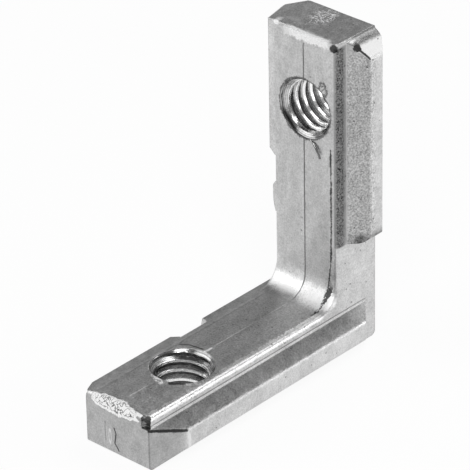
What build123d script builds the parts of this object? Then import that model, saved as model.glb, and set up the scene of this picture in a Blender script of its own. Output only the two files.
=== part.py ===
"""Inner corner bracket for aluminium profile with an 8 mm slot: one zinc die casting.

X runs along the foot, Z up the upright and Y across both, and Y = 0 is the plane where the two
halves of the die meet. The bracket is drawn from its outer corner line, and the last step moves it
so that the origin is where the foot's hole opens in its outer face. The wings that grip behind the
slot's lips stand out of the neck's two sides: full length ones on +Y, and split, flared ones on -Y.
"""

import os

from build123d import *

# Driving dimensions, mm. The neck is what passes between the slot's lips
foot_length = 31.0
upright_length = 32.35
arm_thickness = 5.5
neck_width = 7.6
inner_draft = 2.9
corner_fillet = 2.3
back_corner_radius = 0.5
front_side_radius = 0.4
rear_side_radius = 0.3
tip_depth = 1.5
crown_clearance = 0.02
foot_tip_inner_radius = 0.85
foot_tip_outer_radius = 0.3
upright_tip_inner_radius = 0.6
upright_tip_outer_radius = 0.5

# Wings on the +Y side
foot_wing_step = 1.25
foot_wing_reach = 1.3
foot_wing_bevel = 1.2
foot_wing_start = 1.4
foot_wing_start_ramp = 1.4
foot_wing_start_radius = 0.35
foot_wing_taper = 4.0
foot_wing_tip_radius = 0.2
upright_wing_step = 1.5
upright_wing_reach = 1.55
upright_wing_bevel = 0.8
upright_wing_start = 11.4
upright_wing_start_radius = 0.9
upright_wing_taper = 1.9
upright_wing_tip_radius = 2.2
wing_ridge_radius = 0.6

# Wings on the -Y side: a narrow ledge level with the inner face, then a flare down to the flank
ledge_step = 0.25
ledge_reach = 0.62
flare_reach = 1.45
flare_depth = 3.3
flare_flank = 0.3
tip_flare_start = 18.6
tip_flare_ramp = 1.4
foot_flare_taper = 3.5
foot_flare_tip_radius = 0.85
upright_flare_taper = 0.3
upright_flare_tip_radius = 0.25
upright_flare_rise = 0.2
upright_flare_inner_radius = 0.4
foot_flare_inner_radius = 0.7
foot_flare_start = 2.7
foot_flare_end = 15.0
foot_flare_ramp = 0.3
bump_start = 12.7
bump_start_ramp = 2.0
bump_end = 15.8
bump_end_ramp = 0.8

# Scoop out of the foot's tip, in the neck's corner above the wing
scoop_radius = 0.5
scoop_inset = 0.4

# Tapped holes
thread_diameter = 6.0
foot_hole_distance = 22.4
upright_hole_distance = 24.75

# Worked out from them
half_neck = neck_width / 2
full_height = upright_length + upright_flare_rise
crown = arm_thickness + crown_clearance
swap_arms = Plane(origin=(0, 0, 0), z_dir=(1, 0, -1))


def arms_outline(foot_end, upright_end, outer_side):
    """Both arms seen from the side, with a fillet in the inner corner."""
    inner_corner = (arm_thickness, arm_thickness, 0)
    with BuildSketch(Plane.XZ) as outline:
        with BuildLine():
            Polyline(
                (outer_side, outer_side),
                (foot_end, outer_side),
                (foot_end, arm_thickness),
                inner_corner,
                (arm_thickness, upright_end),
                (outer_side, upright_end),
                close=True,
            )
        make_face()
        corner = outline.vertices().sort_by_distance(inner_corner)[0]
        fillet(corner, radius=corner_fillet)
    return outline.sketch


def wing(section, plan, rounded, inner_radius=0):
    """A wing along the foot: the common part of its section, its plan and its side view.

    The section is across Y and Z and the plan in X and Y. Rounded holds the plan's corners to round,
    each with its radius. The inner radius is that of the tip seen from the side.
    """
    start = min(x for x, y in plan)
    end = max(x for x, y in plan)
    with BuildPart() as piece:
        with BuildSketch(Plane.YZ.offset(start)):
            with BuildLine():
                Polyline(*section, close=True)
            make_face()
        extrude(amount=end - start)
        ridge = piece.edges().filter_by(Axis.X).sort_by(lambda edge: abs(edge.center().Y))[-2:]
        fillet(ridge.sort_by(Axis.Z)[-1], radius=wing_ridge_radius)
        with BuildSketch(Plane.XY) as outline:
            with BuildLine():
                Polyline(*plan, close=True)
            make_face()
            for x, y, radius in rounded:
                fillet(outline.vertices().sort_by_distance((x, y, 0))[0], radius=radius)
        extrude(amount=arm_thickness, mode=Mode.INTERSECT)
        if inner_radius:
            with BuildSketch(Plane.XZ) as side:
                with Locations((start, 0)):
                    Rectangle(end - start, arm_thickness, align=(Align.MIN, Align.MIN))
                fillet(side.vertices().sort_by_distance((end, arm_thickness, 0))[0], radius=inner_radius)
            extrude(amount=neck_width, both=True, mode=Mode.INTERSECT)
    return piece.part


def front_wing(start, length, step, reach, bevel, start_radius, taper, tip_radius, start_ramp=0):
    """A wing on the +Y side, with a 45 degree slope to its flank and a tapered tip."""
    flank = half_neck + reach
    section = [
        (0, 0),
        (flank - bevel, 0),
        (flank, bevel),
        (flank, arm_thickness - step - reach),
        (half_neck, arm_thickness - step),
        (0, arm_thickness - step),
    ]
    plan = [
        (start, 0),
        (length, 0),
        (length, half_neck),
        (length - taper, flank),
        (start + start_ramp, flank),
        (start, half_neck),
    ]
    rounded = [
        (start + start_ramp, flank, start_radius),
        (length - taper, flank, tip_radius),
        (length, half_neck, tip_radius),
    ]
    return wing(section, plan, rounded)


def rear_wing(start, end, start_ramp, end_ramp, reach, rise=0, tip_radius=0, **radii):
    """A wing on the -Y side that flares from its ledge, with a ramp at each end."""
    flank = half_neck + reach
    ledge = half_neck + ledge_reach
    bevel = arm_thickness - flare_depth - flare_flank
    section = [
        (0, 0),
        (bevel - flank, 0),
        (-flank, bevel),
        (-flank, arm_thickness - flare_depth),
        (-ledge, arm_thickness - ledge_step),
        (0, arm_thickness - ledge_step),
    ]
    plan = [
        (start, 0),
        (start, -half_neck),
        (start + start_ramp, -flank),
        (end - end_ramp, -flank),
        (end, -half_neck),
        (end - rise, 0),
    ]
    rounded = [(end, -half_neck, tip_radius)] if tip_radius else []
    return wing(section, plan, rounded, **radii)


def to_upright(piece):
    """The same form on the upright: what ran along X from the corner runs up Z."""
    return mirror(piece, about=swap_arms)


foot_wing = front_wing(
    foot_wing_start,
    foot_length,
    foot_wing_step,
    foot_wing_reach,
    foot_wing_bevel,
    foot_wing_start_radius,
    foot_wing_taper,
    foot_wing_tip_radius,
    foot_wing_start_ramp,
)
upright_wing = front_wing(
    upright_wing_start,
    upright_length,
    upright_wing_step,
    upright_wing_reach,
    upright_wing_bevel,
    upright_wing_start_radius,
    upright_wing_taper,
    upright_wing_tip_radius,
)
foot_flare = rear_wing(
    foot_flare_start, foot_flare_end, foot_flare_ramp, foot_flare_ramp, flare_reach
)
foot_tip_flare = rear_wing(
    tip_flare_start,
    foot_length,
    tip_flare_ramp,
    foot_flare_taper,
    flare_reach,
    tip_radius=foot_flare_tip_radius,
    inner_radius=foot_flare_inner_radius,
)
upright_bump = rear_wing(bump_start, bump_end, bump_start_ramp, bump_end_ramp, ledge_reach)
upright_tip_flare = rear_wing(
    tip_flare_start,
    full_height,
    tip_flare_ramp,
    upright_flare_taper,
    flare_reach,
    upright_flare_rise,
    upright_flare_tip_radius,
    inner_radius=upright_flare_inner_radius,
)

with BuildPart() as bracket:
    # The neck: both die halves narrow away from Y = 0, and the outer faces stay flat
    extrude(
        arms_outline(foot_length + arm_thickness, upright_length + arm_thickness, -arm_thickness),
        amount=half_neck,
        both=True,
        taper=inner_draft,
    )
    with BuildSketch(Plane.XZ):
        Rectangle(foot_length, upright_length, align=(Align.MIN, Align.MIN))
    extrude(amount=neck_width, both=True, mode=Mode.INTERSECT)
    inner_edges = bracket.edges().filter_by(
        lambda edge: min(edge.center().X, edge.center().Z) > arm_thickness / 2
    )
    fillet(inner_edges.group_by(Axis.Y)[-1], radius=front_side_radius)
    fillet(inner_edges.group_by(Axis.Y)[0], radius=rear_side_radius)

    # Wings
    add(foot_wing)
    add(foot_flare)
    add(foot_tip_flare)
    add(to_upright(upright_wing))
    add(to_upright(upright_bump))
    add(to_upright(upright_tip_flare))

    # The roundings seen from the side: both tips and the outer corner
    with BuildSketch(Plane.XZ) as side:
        with BuildLine():
            Polyline(
                (0, 0),
                (foot_length, 0),
                (foot_length, crown),
                (foot_length - tip_depth, crown),
                (foot_length - tip_depth, full_height - tip_depth),
                (crown, full_height - tip_depth),
                (crown, full_height),
                (0, full_height),
                close=True,
            )
        make_face()
        for x, z, radius in (
            (0, 0, back_corner_radius),
            (foot_length, 0, foot_tip_outer_radius),
            (foot_length, crown, foot_tip_inner_radius),
            (crown, full_height, upright_tip_inner_radius),
            (0, full_height, upright_tip_outer_radius),
        ):
            fillet(side.vertices().sort_by_distance((x, z, 0))[0], radius=radius)
    extrude(amount=neck_width, both=True, mode=Mode.INTERSECT)

    # Scoop
    with Locations((foot_length, half_neck - scoop_inset, arm_thickness - foot_wing_step)):
        Cylinder(
            radius=scoop_radius,
            height=arm_thickness,
            align=(Align.CENTER, Align.CENTER, Align.MIN),
            mode=Mode.SUBTRACT,
        )

    # Tapped holes
    hole_radius = thread_diameter / 2
    with Locations((foot_hole_distance, 0, arm_thickness)):
        Hole(radius=hole_radius)
    with Locations(Location((arm_thickness, 0, upright_hole_distance), (0, 90, 0))):
        Hole(radius=hole_radius)

# From the outer corner line to the mouth of the foot's hole
placed = Pos(-foot_hole_distance, 0, 0) * bracket.part
placed.label = "bracket"
os.makedirs("parts", exist_ok=True)
export_step(placed, "parts/bracket.step")
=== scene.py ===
"""Looks of the slot bracket: a bare zinc die casting with two M6 threads, on a pale floor."""

import math

import bpy
import numpy as np
from mathutils import Matrix, Vector


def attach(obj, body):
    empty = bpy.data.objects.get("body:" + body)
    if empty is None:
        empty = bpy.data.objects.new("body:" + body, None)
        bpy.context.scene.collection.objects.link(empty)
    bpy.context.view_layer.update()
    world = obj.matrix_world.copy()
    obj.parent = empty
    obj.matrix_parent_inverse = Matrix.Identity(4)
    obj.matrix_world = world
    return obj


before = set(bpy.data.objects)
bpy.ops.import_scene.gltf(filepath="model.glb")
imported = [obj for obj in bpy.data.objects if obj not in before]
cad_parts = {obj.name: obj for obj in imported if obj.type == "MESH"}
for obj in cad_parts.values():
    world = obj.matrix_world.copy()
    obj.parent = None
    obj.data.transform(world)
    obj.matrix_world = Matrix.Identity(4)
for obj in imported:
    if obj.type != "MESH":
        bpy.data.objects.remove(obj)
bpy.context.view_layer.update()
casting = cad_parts["bracket"]

# Sizes that the finish and the threads follow, mm, as the solid has them. X runs along the foot
# from the outer corner line, Y across the bracket from its parting plane, and Z up.
MM = 0.001
hole_radius = 3.0
crest_radius = 2.459
pitch = 1.0
arm_thickness = 5.5
foot_length = 31.0
upright_top = 32.35
corner_x = -22.4
foot_hole_distance = 22.4
upright_hole_height = 24.75
half_neck = 3.8
draft = math.tan(math.radians(2.9))


# ---------------------------------------------------------------- shader maths


class Sock:
    """Wraps a node socket so that shader maths can be written as Python expressions."""

    def __init__(self, tree, socket):
        self.tree = tree
        self.socket = socket

    def math(self, operation, *values, clamp=False):
        settings = {"operation": operation, "use_clamp": clamp}
        return Sock(self.tree, add_node(self.tree, "Math", settings, values).outputs[0])

    def __add__(self, other):
        return self.math("ADD", self, other)

    __radd__ = __add__

    def __sub__(self, other):
        return self.math("SUBTRACT", self, other)

    def __rsub__(self, other):
        return self.math("SUBTRACT", other, self)

    def __mul__(self, other):
        return self.math("MULTIPLY", self, other)

    __rmul__ = __mul__

    def __truediv__(self, other):
        return self.math("DIVIDE", self, other)

    def __abs__(self):
        return self.math("ABSOLUTE", self)

    def above(self, edge, soft):
        """0 below the edge and 1 above it, with a ramp of the given width around it."""
        return self.math("MULTIPLY_ADD", self - edge, 1.0 / soft, 0.5, clamp=True)

    def below(self, edge, soft):
        return self.math("MULTIPLY_ADD", self - edge, -1.0 / soft, 0.5, clamp=True)

    def within(self, low, high, soft):
        return self.above(low, soft) * self.below(high, soft)

    def clamped(self):
        return self.math("ADD", self, 0.0, clamp=True)

    def root(self):
        return self.math("SQRT", self)

    def sine(self):
        return self.math("SINE", self)

    def nearer(self, other):
        return self.math("MINIMUM", self, other)

    def either(self, other):
        return self.math("MAXIMUM", self, other)


def add_node(tree, kind, settings, inputs):
    """Adds one shader node: its settings first, then its sockets by position or by name."""
    made = tree.nodes.new("ShaderNode" + kind)
    for key, value in settings.items():
        setattr(made, key, value)
    pairs = inputs.items() if isinstance(inputs, dict) else enumerate(inputs)
    for key, value in pairs:
        if isinstance(value, Sock):
            tree.links.new(value.socket, made.inputs[key])
        else:
            made.inputs[key].default_value = value
    return made


def new_material(name):
    """A node material with only its Principled shader and its output."""
    made = bpy.data.materials.new(name)
    made.use_nodes = True
    tree = made.node_tree
    tree.nodes.clear()
    shader = add_node(tree, "BsdfPrincipled", {}, {})
    add_node(tree, "OutputMaterial", {}, {0: Sock(tree, shader.outputs[0])})
    return made, tree, shader


def link(tree, source, shader, name):
    tree.links.new(source.socket, shader.inputs[name])


def bare_metal(tree, shader, tone, roughness, relief):
    """Bare metal: its grey from 0, black, to 1, white, its roughness, and its relief in mm."""
    greys = {0: tone, 6: (0.0, 0.0, 0.0, 1), 7: (1.0, 1.0, 1.0, 1)}
    colour = add_node(tree, "Mix", {"data_type": "RGBA"}, greys)
    bump = add_node(tree, "Bump", {}, {"Strength": 1.0, "Distance": MM, **relief})
    link(tree, Sock(tree, colour.outputs[2]), shader, "Base Color")
    link(tree, roughness, shader, "Roughness")
    link(tree, Sock(tree, bump.outputs[0]), shader, "Normal")
    shader.inputs["Metallic"].default_value = 1.0


def millimetres(tree):
    """Object coordinates in mm, measured from the bracket's outer corner line."""
    coordinates = add_node(tree, "TexCoord", {}, {})
    split = add_node(tree, "SeparateXYZ", {}, {0: Sock(tree, coordinates.outputs["Object"])})
    x, y, z = (Sock(tree, output) * 1000 for output in split.outputs)
    return x - corner_x, y, z


def speckle(tree, x, y, z, grain, detail=2.0):
    """Noise from 0 to 1 around 0.5, whose features are about as long as the grain, mm."""
    place = add_node(tree, "CombineXYZ", {}, [x, y, z])
    inputs = {
        "Vector": Sock(tree, place.outputs[0]),
        "Scale": 1.0 / grain,
        "Detail": detail,
        "Roughness": 0.6,
    }
    noise = Sock(tree, add_node(tree, "TexNoise", {}, inputs).outputs[0])
    return ((noise - 0.5) * 2.6 + 0.5).clamped()


def root_of_squares(u, v):
    return (u * u + v * v).root()


def off_line(u, v, points):
    """Distance from a line through the points: the least of the distances from its stretches."""
    nearest = None
    for (start_u, start_v), (end_u, end_v) in zip(points, points[1:]):
        run_u, run_v = end_u - start_u, end_v - start_v
        square = run_u * run_u + run_v * run_v
        from_u, from_v = u - start_u, v - start_v
        along = (from_u * (run_u / square) + from_v * (run_v / square)).clamped()
        distance = root_of_squares(from_u - along * run_u, from_v - along * run_v)
        nearest = distance if nearest is None else nearest.nearer(distance)
    return nearest


def off_centre(u, v, centre, reach):
    """0 at the centre of an ellipse and 1 on its edge."""
    return root_of_squares((u - centre[0]) / reach[0], (v - centre[1]) / reach[1])


def strongest(mask, *others):
    """The strongest of several masks at each point."""
    for other in others:
        mask = mask.either(other)
    return mask


# --------------------------------------------------------------- cast surface

zinc, tree, shader = new_material("zinc_casting")
x, y, z = millimetres(tree)
grain = speckle(tree, x, y, z, 0.16)
mottle = speckle(tree, x, y, z, 0.9, 3.0)
cloud = speckle(tree, x * 0.35, y, z * 0.35, 1.6, 3.0)

# The first two around 0, and how far the edge of a mark strays, mm
grit = grain - 0.5
blotch = mottle - 0.5
wander = blotch * 0.3

# Faces, by where they are. In each mask the numbers are places in mm and the last one is how wide
# its soft edge is.
on_foot_top = z.above(arm_thickness - 0.15, 0.1) * x.above(8.2, 1.0)
on_end = x.above(foot_length - 0.12, 0.08)
on_upright_face = x.within(5.3, 5.9, 0.1) * z.above(7.8, 0.6)
on_top_end = z.above(upright_top - 0.12, 0.1)
on_inner_face = x.within(5.2, 8.0, 0.2)
on_wing_height = z.above(11.3, 0.2)
off_neck = y.above(half_neck + 0.04, 0.05)
facet = (y + (x - foot_length) * 0.325).above(half_neck - 0.05, 0.04) * x.above(27.5, 1.0)
facet = facet * (z + y).below(8.02, 0.06)
on_slope_plane = (z + y).within(7.85, 8.3, 0.2)
foot_slope = on_slope_plane * z.above(2.95, 0.2) * y.above(half_neck + 0.05, 0.1)
slope_heel = on_slope_plane * z.above(2.9, 0.1) * y.above(half_neck + 0.1, 0.15)
slope_heel = slope_heel * x.below(3.6, 3.2)
wing_heel = z.within(10.9, 12.3, 0.7) * y.above(half_neck + 0.1, 0.1)
# Painted shadow: a dark line along the top of the foot's slope, under the neck's edge
slope_root_shadow = z.within(4.41, 4.53, 0.06) * y.above(3.4, 0.1) * x.above(1.4, 0.2)
# The facet at the upright's near top corner: a painted highlight patch on it, and painted shade on
# its part nearest the neck
on_crown_facet = (z + (y - half_neck) * 1.226).above(32.1, 0.15)
on_crown_facet = on_crown_facet * y.above(half_neck - 0.05, 0.06)
crown_facet_highlight = off_centre(y, z, (4.85, 31.0), (0.55, 0.95)) + wander
crown_facet_highlight = crown_facet_highlight.below(1.0, 0.5) * on_crown_facet
crown_shade = on_crown_facet * (y + wander).below(4.35, 0.6) * x.below(3.2, 0.8)
# Painted shade on the narrow side of the upright's neck, beside its wing
neck_band = y.within(3.42, 3.86, 0.12) * z.within(11.4, 31.9, 0.2)
neck_band = neck_band * x.above(4.15, 0.8) * x.below(5.32, 0.2) * (0.9 + grit * 0.7)
# Painted shade on the slopes of the upright's wings
upright_slope = (x + y).within(7.5, 8.3, 0.2) * x.above(2.4, 0.3) * on_wing_height * off_neck

# Bores, painted dark inside as shade
foot_bore = root_of_squares(x - foot_hole_distance, y)
upright_bore = root_of_squares(y, z - upright_hole_height)
bore_wall, bore_mouth = hole_radius + 0.03, arm_thickness - 0.1
foot_bore_shade = foot_bore.below(bore_wall, 0.04) * z.below(bore_mouth, 0.2)
upright_bore_shade = upright_bore.below(bore_wall, 0.04) * x.below(bore_mouth, 0.2)

# Rough skin where the gate and the ejector left it, with painted highlights on the upright's top
tip_low = z - (y + 0.3) * (y + 0.3) * 0.05 - 4.2 + wander
tip_back = x - (y + 0.6) * (y + 0.6) * 0.075 - 30.2 + wander
tip_skin = tip_low.above(0.0, 0.08) * tip_back.above(0.0, 0.08) * y.within(-3.15, 3.2, 0.15)
tip_inside = tip_low.above(0.3, 0.2) * tip_back.above(0.25, 0.2) * y.within(-2.75, 2.9, 0.3)
worms = abs(speckle(tree, x, y, z, 0.42, 1.0) - 0.5).below(0.09, 0.1)
tip_worms = tip_inside * worms
# Rough skin on the upright's top edge, also standing in as a painted highlight on its rounding
crown_low = z - 31.6 + wander + grit * 0.15
crown_back = x - 4.85 + wander
crown_skin_and_highlight = crown_low.above(0.0, 0.2) * crown_back.above(0.0, 0.2)
crown_skin_and_highlight = crown_skin_and_highlight * (y + wander * 3).above(-2.2, 1.4) * y.below(2.9, 0.4)
crown_skin_and_highlight = crown_skin_and_highlight * z.below(upright_top - 0.02, 0.1).either(x.above(5.0, 0.2))
# A painted glint on the far top corner of the upright
crown_painted_glint = off_centre(y, z, (-3.45, 32.35), (0.4, 0.2)).below(1.0, 0.6) * x.above(4.6, 0.6)
scratch_field = off_centre(x, y, (1.8, -0.8), (1.6, 1.1)).below(1.0, 0.4) * on_top_end
streaks = abs(speckle(tree, x * 2.5, y, z, 0.7) - 0.5).below(0.06, 0.1)
scratches = scratch_field * streaks

# Parting line
seam = abs(y + blotch * 0.05).below(0.045, 0.05)
foot_seam = seam * on_foot_top * x.below(29.4, 0.5) * cloud.above(0.3, 0.3)
seam_burr = off_line(x, y, [(19.4, -0.1), (19.1, 0.05), (18.5, 0.05)]) + wander * 0.2
seam_burr = seam_burr.below(0.11, 0.08) * on_foot_top
foot_seam = foot_seam.either(seam_burr * 1.6)
upright_seam = abs(y + wander * 0.2).below(0.06, 0.06)
upright_seam = upright_seam * on_inner_face * z.within(5.6, 31.3, 0.3)

# Cracks, torn edges and dents, and painted shade: shadows along the foot's tip and beside the
# torn curl, shade in the scoop, and a painted glint on the end face
near_crack = off_line(y, z, [(3.05, 21.5), (3.08, 14.0), (3.02, 10.0), (2.8, 7.6), (2.75, 6.2)])
near_crack = (near_crack + blotch * 0.12 + grit * 0.06).below(0.08, 0.08) * on_inner_face
near_heel = off_centre(y, z, (3.02, 6.45), (0.24, 1.15)) + blotch * 1.2 + grit * 0.5
near_heel = near_heel.below(1.0, 0.3) * x.within(5.4, 8.2, 0.2)
end_crack = off_line(y, z, [(-0.42, 2.77), (-0.2, 2.23), (-0.37, 1.2), (0.1, 0.55)])
end_crease = off_line(y, z, [(-1.5, 3.1), (-1.55, 2.3), (-1.48, 1.06)])
end_dark = end_crack.below(0.06, 0.06).either(end_crease.below(0.03, 0.05) * 0.6) * on_end
# A painted glint on the foot's end face
end_painted_glint = off_centre(y, z, (-0.95, 1.7), (0.16, 0.75)).within(0.7, 1.1, 0.3) * on_end
crown_dent = off_centre(y, z, (3.42, 31.85), (0.36, 0.42)) + blotch * 1.2
crown_dent = crown_dent.below(1.0, 0.3) * x.above(5.1, 0.2)
slope_dent = off_centre(x, z, (3.25, 31.5), (0.42, 0.3)) + blotch * 1.1
slope_crack = off_line(x, z, [(3.3, 31.5), (2.42, 30.35)]).below(0.09, 0.08)
slope_dent = slope_dent.below(1.0, 0.3).either(slope_crack) * y.above(4.0, 0.2)
# Painted shadow: a dark line along the crevice where the foot's slope meets the facet at its tip
tip_shadow_line = off_line(x, z, [(31.0, 4.15), (29.0, 3.5), (27.3, 2.95)])
tip_shadow_line = (tip_shadow_line + wander * 0.4).below(0.16, 0.1) * y.above(3.7, 0.1)
# Painted shade in the scoop at the near corner of the foot's tip
scoop_shade = off_centre(x, y, (foot_length, 3.48), (0.56, 0.5)) + blotch * 0.6
scoop_shade = scoop_shade.below(1.0, 0.15) * z.above(4.15, 0.1)
far_rim = off_line(x, y, [(19.79, -2.81), (19.26, -1.92), (19.12, -0.48)])
notch = off_line(x, y, [(25.15, 1.25), (24.55, 2.0)]) + wander * 0.6
foot_rim_dark = far_rim.below(0.1, 0.08).either(notch.below(0.34, 0.1)) * on_foot_top
torn = blotch * 0.5 + grit * 0.3
upright_rim = (upright_bore + torn * 0.4).below(hole_radius + 0.12, 0.1)
chip = off_centre(y, z, (2.2, 27.3), (0.5, 0.75)) + torn
chip_edge = chip.within(0.75, 1.1, 0.2).either(chip.below(0.8, 0.3) * worms)
# Painted shadow beside the torn curl
curl_shade = off_line(y, z, [(0.8, 21.75), (1.4, 21.15), (1.8, 20.3)]).below(0.15, 0.1)
upright_rim_dark = strongest(upright_rim, chip_edge, curl_shade) * on_upright_face
foot_rim = (foot_bore + torn * 0.6).below(hole_radius - 0.02, 0.1)
torn_left = off_line(x, y, [(25.25, -0.75), (25.8, 0.5)])
torn_right = off_line(x, y, [(24.35, 2.35), (23.3, 3.0)])
torn_patch = (torn_left.nearer(torn_right) + wander * 0.8).below(0.34, 0.12)
torn_patch = torn_patch * (grain * 0.8 + mottle * 0.5 - worms * 0.6).above(0.5, 0.3)
foot_rim_white = foot_rim.either(torn_patch) * on_foot_top

# Pits: a small dot in the middle of about one in four of the cells
place = add_node(tree, "CombineXYZ", {}, [x, y, z])
cells = add_node(tree, "TexVoronoi", {}, {"Vector": Sock(tree, place.outputs[0]), "Scale": 1.4})
chance = add_node(tree, "SeparateColor", {}, {0: Sock(tree, cells.outputs["Color"])})
pits = Sock(tree, cells.outputs["Distance"]).below(0.13, 0.06)
pits = pits * Sock(tree, chance.outputs[0]).above(0.72, 0.02)

# A painted highlight along the foot's near top edge, dark specks along that edge, a painted
# highlight down the facet's edge, and the fillet's rougher skin, which is also painted lighter,
# with a painted highlight on it
foot_edge_highlight = (y + wander * 0.8 + grit * 0.2).above(3.15, 0.12) * z.within(4.9, 5.6, 0.15)
foot_edge_highlight = foot_edge_highlight * x.above(7.6, 0.8) * x.below(30.7, 0.3)
foot_edge_highlight = foot_edge_highlight * (cloud + grain * 0.6).above(0.35, 0.4)
worn_edge = y.within(3.2, 3.95, 0.1) * z.within(4.8, 5.6, 0.1) * x.above(8.0, 1.0)
worn_edge = worn_edge * (grain + mottle * 0.6).below(0.7, 0.3)
facet_edge_highlight = off_line(x, z, [(27.2, 2.95), (27.05, 2.0), (27.0, 0.6)]) + wander * 0.5
facet_edge_highlight = facet_edge_highlight.below(0.16, 0.15) * y.above(4.9, 0.1)
fillet_skin_and_sheen = x.within(5.6, 7.6, 0.4) * z.within(5.6, 7.6, 0.4)
fillet_painted_highlight = off_centre(x, y, (6.9, 2.0), (1.0, 1.7)).below(1.0, 0.8) * z.within(5.4, 7.4, 0.3)

# Along the far shoulder of the foot a painted shade line and a painted highlight, painted shade
# on the foot's top beside the upright's root, and where the grain is coarser
shoulder = on_foot_top * x.below(30.2, 0.4)
shoulder_painted_shade = (y + wander * 0.1).within(-3.04, -2.84, 0.08) * shoulder
shoulder_painted_highlight = (y + wander * 0.1).within(-3.34, -3.06, 0.1) * shoulder
root_shade = (y - (x - arm_thickness) * 0.92 + half_neck).above(-0.6, 2.4)
root_shade = root_shade * z.above(arm_thickness - 0.2, 0.1) * x.above(7.4, 0.8)
ridge_skin = (x + y).within(7.3, 8.9, 0.7) * on_wing_height * off_neck * z.below(31.0, 0.8)
pebbles = on_foot_top * 0.14 + ridge_skin * 0.36 + foot_slope * 0.1 + on_top_end * 0.1

# Marks that darken the metal and marks that whiten it, each with its strength: real marks, and
# painted shade, shadows and highlights
dark = strongest(
    near_crack,
    near_heel,
    end_dark,
    crown_dent,
    slope_dent,
    tip_shadow_line,
    scoop_shade,
    foot_rim_dark,
    upright_rim_dark * 0.75,
    tip_worms * 0.75,
    upright_seam * 0.8,
    pits * 0.6,
    shoulder_painted_shade * 0.42,
    foot_bore_shade * 0.85,
    upright_bore_shade * 0.7,
    slope_root_shadow * 0.5,
)
white = strongest(
    tip_skin,
    crown_skin_and_highlight * (0.75 + grain * 0.3),
    scratches,
    foot_seam * 0.6,
    end_painted_glint * 0.6,
    foot_rim_white,
    fillet_painted_highlight * (0.3 + grain * 0.7),
    facet_edge_highlight * 0.7,
    crown_painted_glint,
    crown_facet_highlight,
)
white = white * (1 - dark)

# Painted shade and painted light by face, as the light falls on each: how much darker each face is
# painted than the plain casting, or lighter where the share is below 0, with a mottled darkening
# at the wing's heel
painted_face_shades = (
    (on_end, 0.28),
    (on_top_end, 0.1),
    (root_shade, 0.28),
    (facet, 0.36),
    (neck_band, 0.8),
    (upright_slope, 0.3),
    (on_upright_face, 0.13),
    (foot_slope * x.above(3.0, 2.6), 0.34 + (z - 3.7) * 0.12),
    (crown_shade, 0.6),
    (fillet_skin_and_sheen, -0.8),
    (wing_heel * mottle, 0.9),
    (slope_heel, -0.5),
)
plain_tone, white_tone = 0.6, 0.95
tone = plain_tone + grit * (0.2 + pebbles) + shoulder_painted_highlight * 0.22
tone = tone + blotch * 0.12 + (cloud - 0.5) * 0.14
for face, share in painted_face_shades:
    tone = tone * (1 - face * share)
tone = tone + white.either(foot_edge_highlight) * (white_tone - tone)
tone = tone * (1 - worn_edge * 0.27) * (1 - dark * 0.85)
roughness = 0.35 + blotch * 0.12 + white * 0.45 + dark * 0.2 + fillet_skin_and_sheen * 0.12

# Relief in mm, over edges that are rounded a little in the shading
height = grain * (0.005 + fillet_skin_and_sheen * 0.006) + mottle * 0.018 - dark * 0.05
height = height + tip_skin * worms * 0.05 + scratches * 0.03
edge_round = 0.2
soft_edge = add_node(tree, "Bevel", {"samples": 6}, {"Radius": edge_round * MM})
relief = {"Height": height, "Normal": Sock(tree, soft_edge.outputs[0])}
bare_metal(tree, shader, tone, roughness, relief)
casting.data.materials.clear()
casting.data.materials.append(zinc)

# ------------------------------------------------------------- cut threads

cut_zinc, tree, shader = new_material("cut_zinc_thread")
x, y, z = millimetres(tree)
groove = Sock(tree, add_node(tree, "Attribute", {"attribute_name": "groove"}, {}).outputs["Fac"])
chatter = speckle(tree, x, y, z, 0.3, 3.0)

# Painted light and shade by groove depth: bright crests as a painted highlight, darker flanks and
# roots as painted shade, with the tap's ripples (about 3.5 from crest to root), and a painted
# shadow in the mouth of the upright's hole
lit_crest_tone, flank_shade, thread_root_shade = 0.92, 0.42, 0.25
ripple = (groove * 22).sine()
mouth_shade = x.within(4.8, 5.45, 0.15) * (y + z - upright_hole_height).below(-3.85, 0.35)
tone = lit_crest_tone - groove.above(0.14, 0.2) * flank_shade - groove.above(0.75, 0.4) * thread_root_shade
tone = (tone + (chatter - 0.5) * 0.2 + ripple * 0.12) * (1 - mouth_shade * 0.85)
bare_metal(tree, shader, tone, 0.15 + chatter * 0.12, {"Height": chatter * 0.006})


def tube_faces(rows, columns):
    """Quads of a tube of rows of closed rings with that many columns, and a cap at each end."""
    row, column = np.meshgrid(np.arange(rows - 1), np.arange(columns), indexing="ij")
    corner = row * columns + column
    across = row * columns + (column + 1) % columns
    quads = np.stack([corner, across, across + columns, corner + columns], -1).reshape(-1, 4)
    first = np.arange(columns)[::-1]
    last = np.arange(columns) + (rows - 1) * columns
    return quads.tolist() + [first.tolist(), last.tolist()]


def cut_piece(name, rings, groove_depth, smooth_up_to):
    """A tube of freshly cut metal through rings of points, in mm from the outer corner line.

    The groove depth, from 0 to 1 at each point, sets its painted light and shade, bright at 0 and
    dark at 1. Edges between faces that meet at less than the last number, in degrees, are shaded
    smooth.
    """
    points = rings.reshape(-1, 3) + (corner_x, 0, 0)
    mesh = bpy.data.meshes.new(name)
    mesh.from_pydata((points * MM).tolist(), [], tube_faces(*rings.shape[:2]))
    mesh.materials.append(cut_zinc)
    mesh.shade_smooth()
    mesh.set_sharp_from_angle(angle=math.radians(smooth_up_to))
    depths = mesh.attributes.new("groove", "FLOAT", "POINT").data
    depths.foreach_set("value", groove_depth.ravel())
    piece = bpy.data.objects.new(name, mesh)
    bpy.context.scene.collection.objects.link(piece)
    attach(piece, "root")


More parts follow.
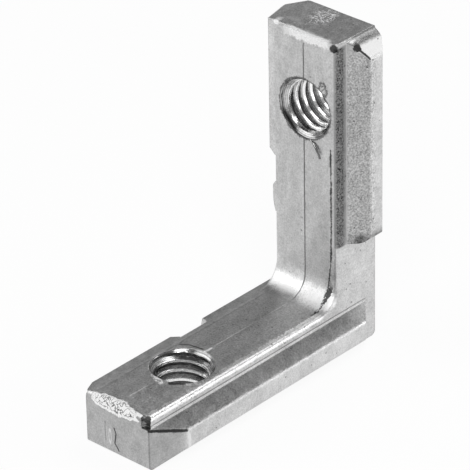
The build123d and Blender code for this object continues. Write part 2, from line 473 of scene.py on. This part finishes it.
def thread_ridge(crest_level, crest_angle, across):
    """The ridge of a right-handed thread in a bore, from level 0 up to the drafted inner face.

    At angle t the ridge is pitch * t / (2 pi) up the bore. Its section is a trapezium whose crest
    is at the crest radius and whose foot is sunk in the wall. It is cut off level at the outer
    mouth, and at the inner mouth by a cone that goes mouth_slope down for each mm that it comes
    in. across(angle) is the share of the radius along Y, where the draft lowers that mouth.
    """
    sunk, mouth_gap, mouth_slope, rings_per_turn = 0.04, 0.02, 1.2, 96
    half_crest = pitch / 8
    flank = (hole_radius - crest_radius) / math.sqrt(3)
    foot = half_crest + flank + sunk / math.sqrt(3)
    corner_levels = np.array([-foot, -half_crest, half_crest, foot])
    corner_radii = np.array([hole_radius + sunk, crest_radius, crest_radius, hole_radius + sunk])
    rise = np.linspace(-foot, -half_crest, 6)
    offsets = np.concatenate([rise, np.linspace(half_crest, foot, 6)])
    radii = np.interp(offsets, corner_levels, corner_radii)
    first = -(crest_level + foot) / pitch
    last = (arm_thickness - crest_level + foot) / pitch
    turns = np.linspace(first, last, int((last - first) * rings_per_turn))
    angle = 2 * math.pi * turns[:, None] + crest_angle
    centre = crest_level + pitch * turns[:, None]
    level = centre + offsets
    cut = np.interp(mouth_gap - centre, corner_levels, corner_radii)
    radius = np.where(level < mouth_gap, np.maximum(radii, cut), radii)
    mouth = arm_thickness - np.abs(hole_radius * across(angle)) * draft
    level = np.clip(level, mouth_gap, mouth - mouth_gap)
    radius = np.maximum(radius, hole_radius + mouth_gap - (mouth - level) / mouth_slope)
    return radius, angle, level


def thread_piece(name, radius, rings):
    """One thread, whose groove depth is 0 on its crest and 1 at the wall of the bore."""
    depth = np.clip((radius - crest_radius) / (hole_radius - crest_radius), 0, 1)
    cut_piece(name, rings, depth, 40)


radius, angle, level = thread_ridge(5.43, math.radians(222.5), np.sin)
along = foot_hole_distance + radius * np.cos(angle)
thread_piece("foot_thread", radius, np.stack([along, radius * np.sin(angle), level], -1))
radius, angle, level = thread_ridge(4.7, math.radians(220.1), np.cos)
up_bore = upright_hole_height + radius * np.sin(angle)
thread_piece("upright_thread", radius, np.stack([level, radius * np.cos(angle), up_bore], -1))


def torn_sliver(name, start, bend, end, off_face, width, depth):
    """A curl of metal that the tap tore up: an ellipse carried along a bent line.

    The line is start * (1 - t)^2 + bend * 2 t (1 - t) + end * t^2, and the ellipse is as wide and
    as deep as given at the middle and comes nearly to a point at each end, as the square root of
    sin(pi t). Its groove depth goes from 1 on one side to 0 on the other, and the side at 1 is
    painted dark, as painted shade.
    """
    t = np.linspace(0.02, 0.98, 28)[:, None]
    start, bend, end, off_face = (np.array(point, float) for point in (start, bend, end, off_face))
    path = start * (1 - t) ** 2 + bend * 2 * t * (1 - t) + end * t**2
    run = 2 * (bend - start) * (1 - t) + 2 * (end - bend) * t
    side_way = np.cross(off_face, run)
    side_way /= np.linalg.norm(side_way, axis=1)[:, None]
    angle = np.linspace(0, 2 * math.pi, 10, endpoint=False)[None, :, None]
    swell = np.sqrt(np.sin(math.pi * t))[:, :, None]
    ring = width * np.cos(angle) * side_way[:, None, :] + depth * np.sin(angle) * off_face
    shaded_side = np.tile(0.5 + 0.5 * np.cos(angle).ravel(), len(t))
    cut_piece(name, path[:, None, :] + swell * ring, shaded_side, 60)


torn_sliver(
    "upright_tap_curl",
    start=(5.42, 0.6, 21.85),
    bend=(5.7, 1.3, 21.6),
    end=(5.65, 1.85, 20.4),
    off_face=(1, 0, 0),
    width=0.17,
    depth=0.08,
)

# ------------------------------------------------------- floor, lamps, camera

floor_mesh = bpy.data.meshes.new("floor")
half_side, floor_level = 1.5, -0.0001
corners = ((-1, -1), (1, -1), (1, 1), (-1, 1))
floor_points = [(i * half_side, j * half_side, floor_level) for i, j in corners]
floor_mesh.from_pydata(floor_points, [], [(0, 1, 2, 3)])
floor = bpy.data.objects.new("floor", floor_mesh)
bpy.context.scene.collection.objects.link(floor)
paper, tree, shader = new_material("paper_floor")
shader.inputs["Base Color"].default_value = (0.95, 0.95, 0.95, 1)
shader.inputs["Roughness"].default_value = 1.0
shader.inputs["Specular IOR Level"].default_value = 0.0

# What the camera and the metal see of the floor is nearly all white, and the rest keeps the shadow
white_share = 0.91
ray = add_node(tree, "LightPath", {}, {})
rays = ("Is Camera Ray", "Is Glossy Ray", "Is Transmission Ray")
direct, mirrored, through = (Sock(tree, ray.outputs[name]) for name in rays)
glow = add_node(tree, "Emission", {}, {"Strength": 1.0})
shares = {
    0: (direct + mirrored + through) * white_share,
    1: Sock(tree, shader.outputs[0]),
    2: Sock(tree, glow.outputs[0]),
}
mixed = add_node(tree, "MixShader", {}, shares)
tree.links.new(mixed.outputs[0], tree.nodes["Material Output"].inputs[0])
floor.data.materials.append(paper)

# Plain grey all round, and darker overhead
sky_tone, overhead_loss = 0.31, 0.26
world = bpy.data.worlds.new("studio")
bpy.context.scene.world = world
world.use_nodes = True
sky = world.node_tree
way = add_node(sky, "TexCoord", {}, {})
parts = add_node(sky, "SeparateXYZ", {}, {0: Sock(sky, way.outputs["Generated"])})
overhead = Sock(sky, parts.outputs[2]).above(0.72, 0.3)
link(sky, sky_tone - overhead * overhead_loss, sky.nodes["Background"], "Color")


def softbox(name, direction, distance, width, height, brightness):
    """A rectangular lamp that faces the bracket, in metres. Its power is pi * brightness * area."""
    lamp = bpy.data.lights.new(name, "AREA")
    lamp.shape = "RECTANGLE"
    lamp.size = width
    lamp.size_y = height
    lamp.energy = math.pi * brightness * width * height
    made = bpy.data.objects.new(name, lamp)
    way = Vector(direction).normalized()
    made.rotation_euler = way.to_track_quat("Z", "Y").to_euler()
    made.location = way * distance
    bpy.context.scene.collection.objects.link(made)


softbox("left_softbox", (0.52, -0.6, 0.5), 0.6, 0.5, 0.5, 1.5)
softbox("right_softbox", (-0.62, 0.74, 0.2), 0.6, 0.35, 0.24, 1.9)
softbox("back_softbox", (-0.55, 0.04, 0.83), 0.6, 0.34, 0.34, 2.6)
softbox("front_softbox", (0.45, 0.42, 0.79), 0.6, 0.3, 0.3, 6.0)

# The camera's place is given in mm along its own right, up and back from the outer corner
turn, tilt, roll = math.radians(132.5), math.radians(29.7), math.radians(1.1)
back = Vector((math.sin(turn) * math.cos(tilt), -math.cos(turn) * math.cos(tilt), math.sin(tilt)))
right = Vector((math.cos(turn), math.sin(turn), 0))
up = back.cross(right)
right, up = (
    right * math.cos(roll) - up * math.sin(roll),
    right * math.sin(roll) + up * math.cos(roll),
)
centre = (right * -10.302 + up * 8.011 + back * 377.36) * MM
centre.x += corner_x * MM
camera_data = bpy.data.cameras.new("camera")
camera_data.sensor_width = 36.0
camera_data.lens = 306.4
camera_data.clip_start = 0.01
camera = bpy.data.objects.new("camera", camera_data)
camera.matrix_world = Matrix.Translation(centre) @ Matrix((right, up, back)).transposed().to_4x4()
bpy.context.scene.collection.objects.link(camera)
bpy.context.scene.camera = camera
bpy.context.scene.view_settings.view_transform = "Standard"
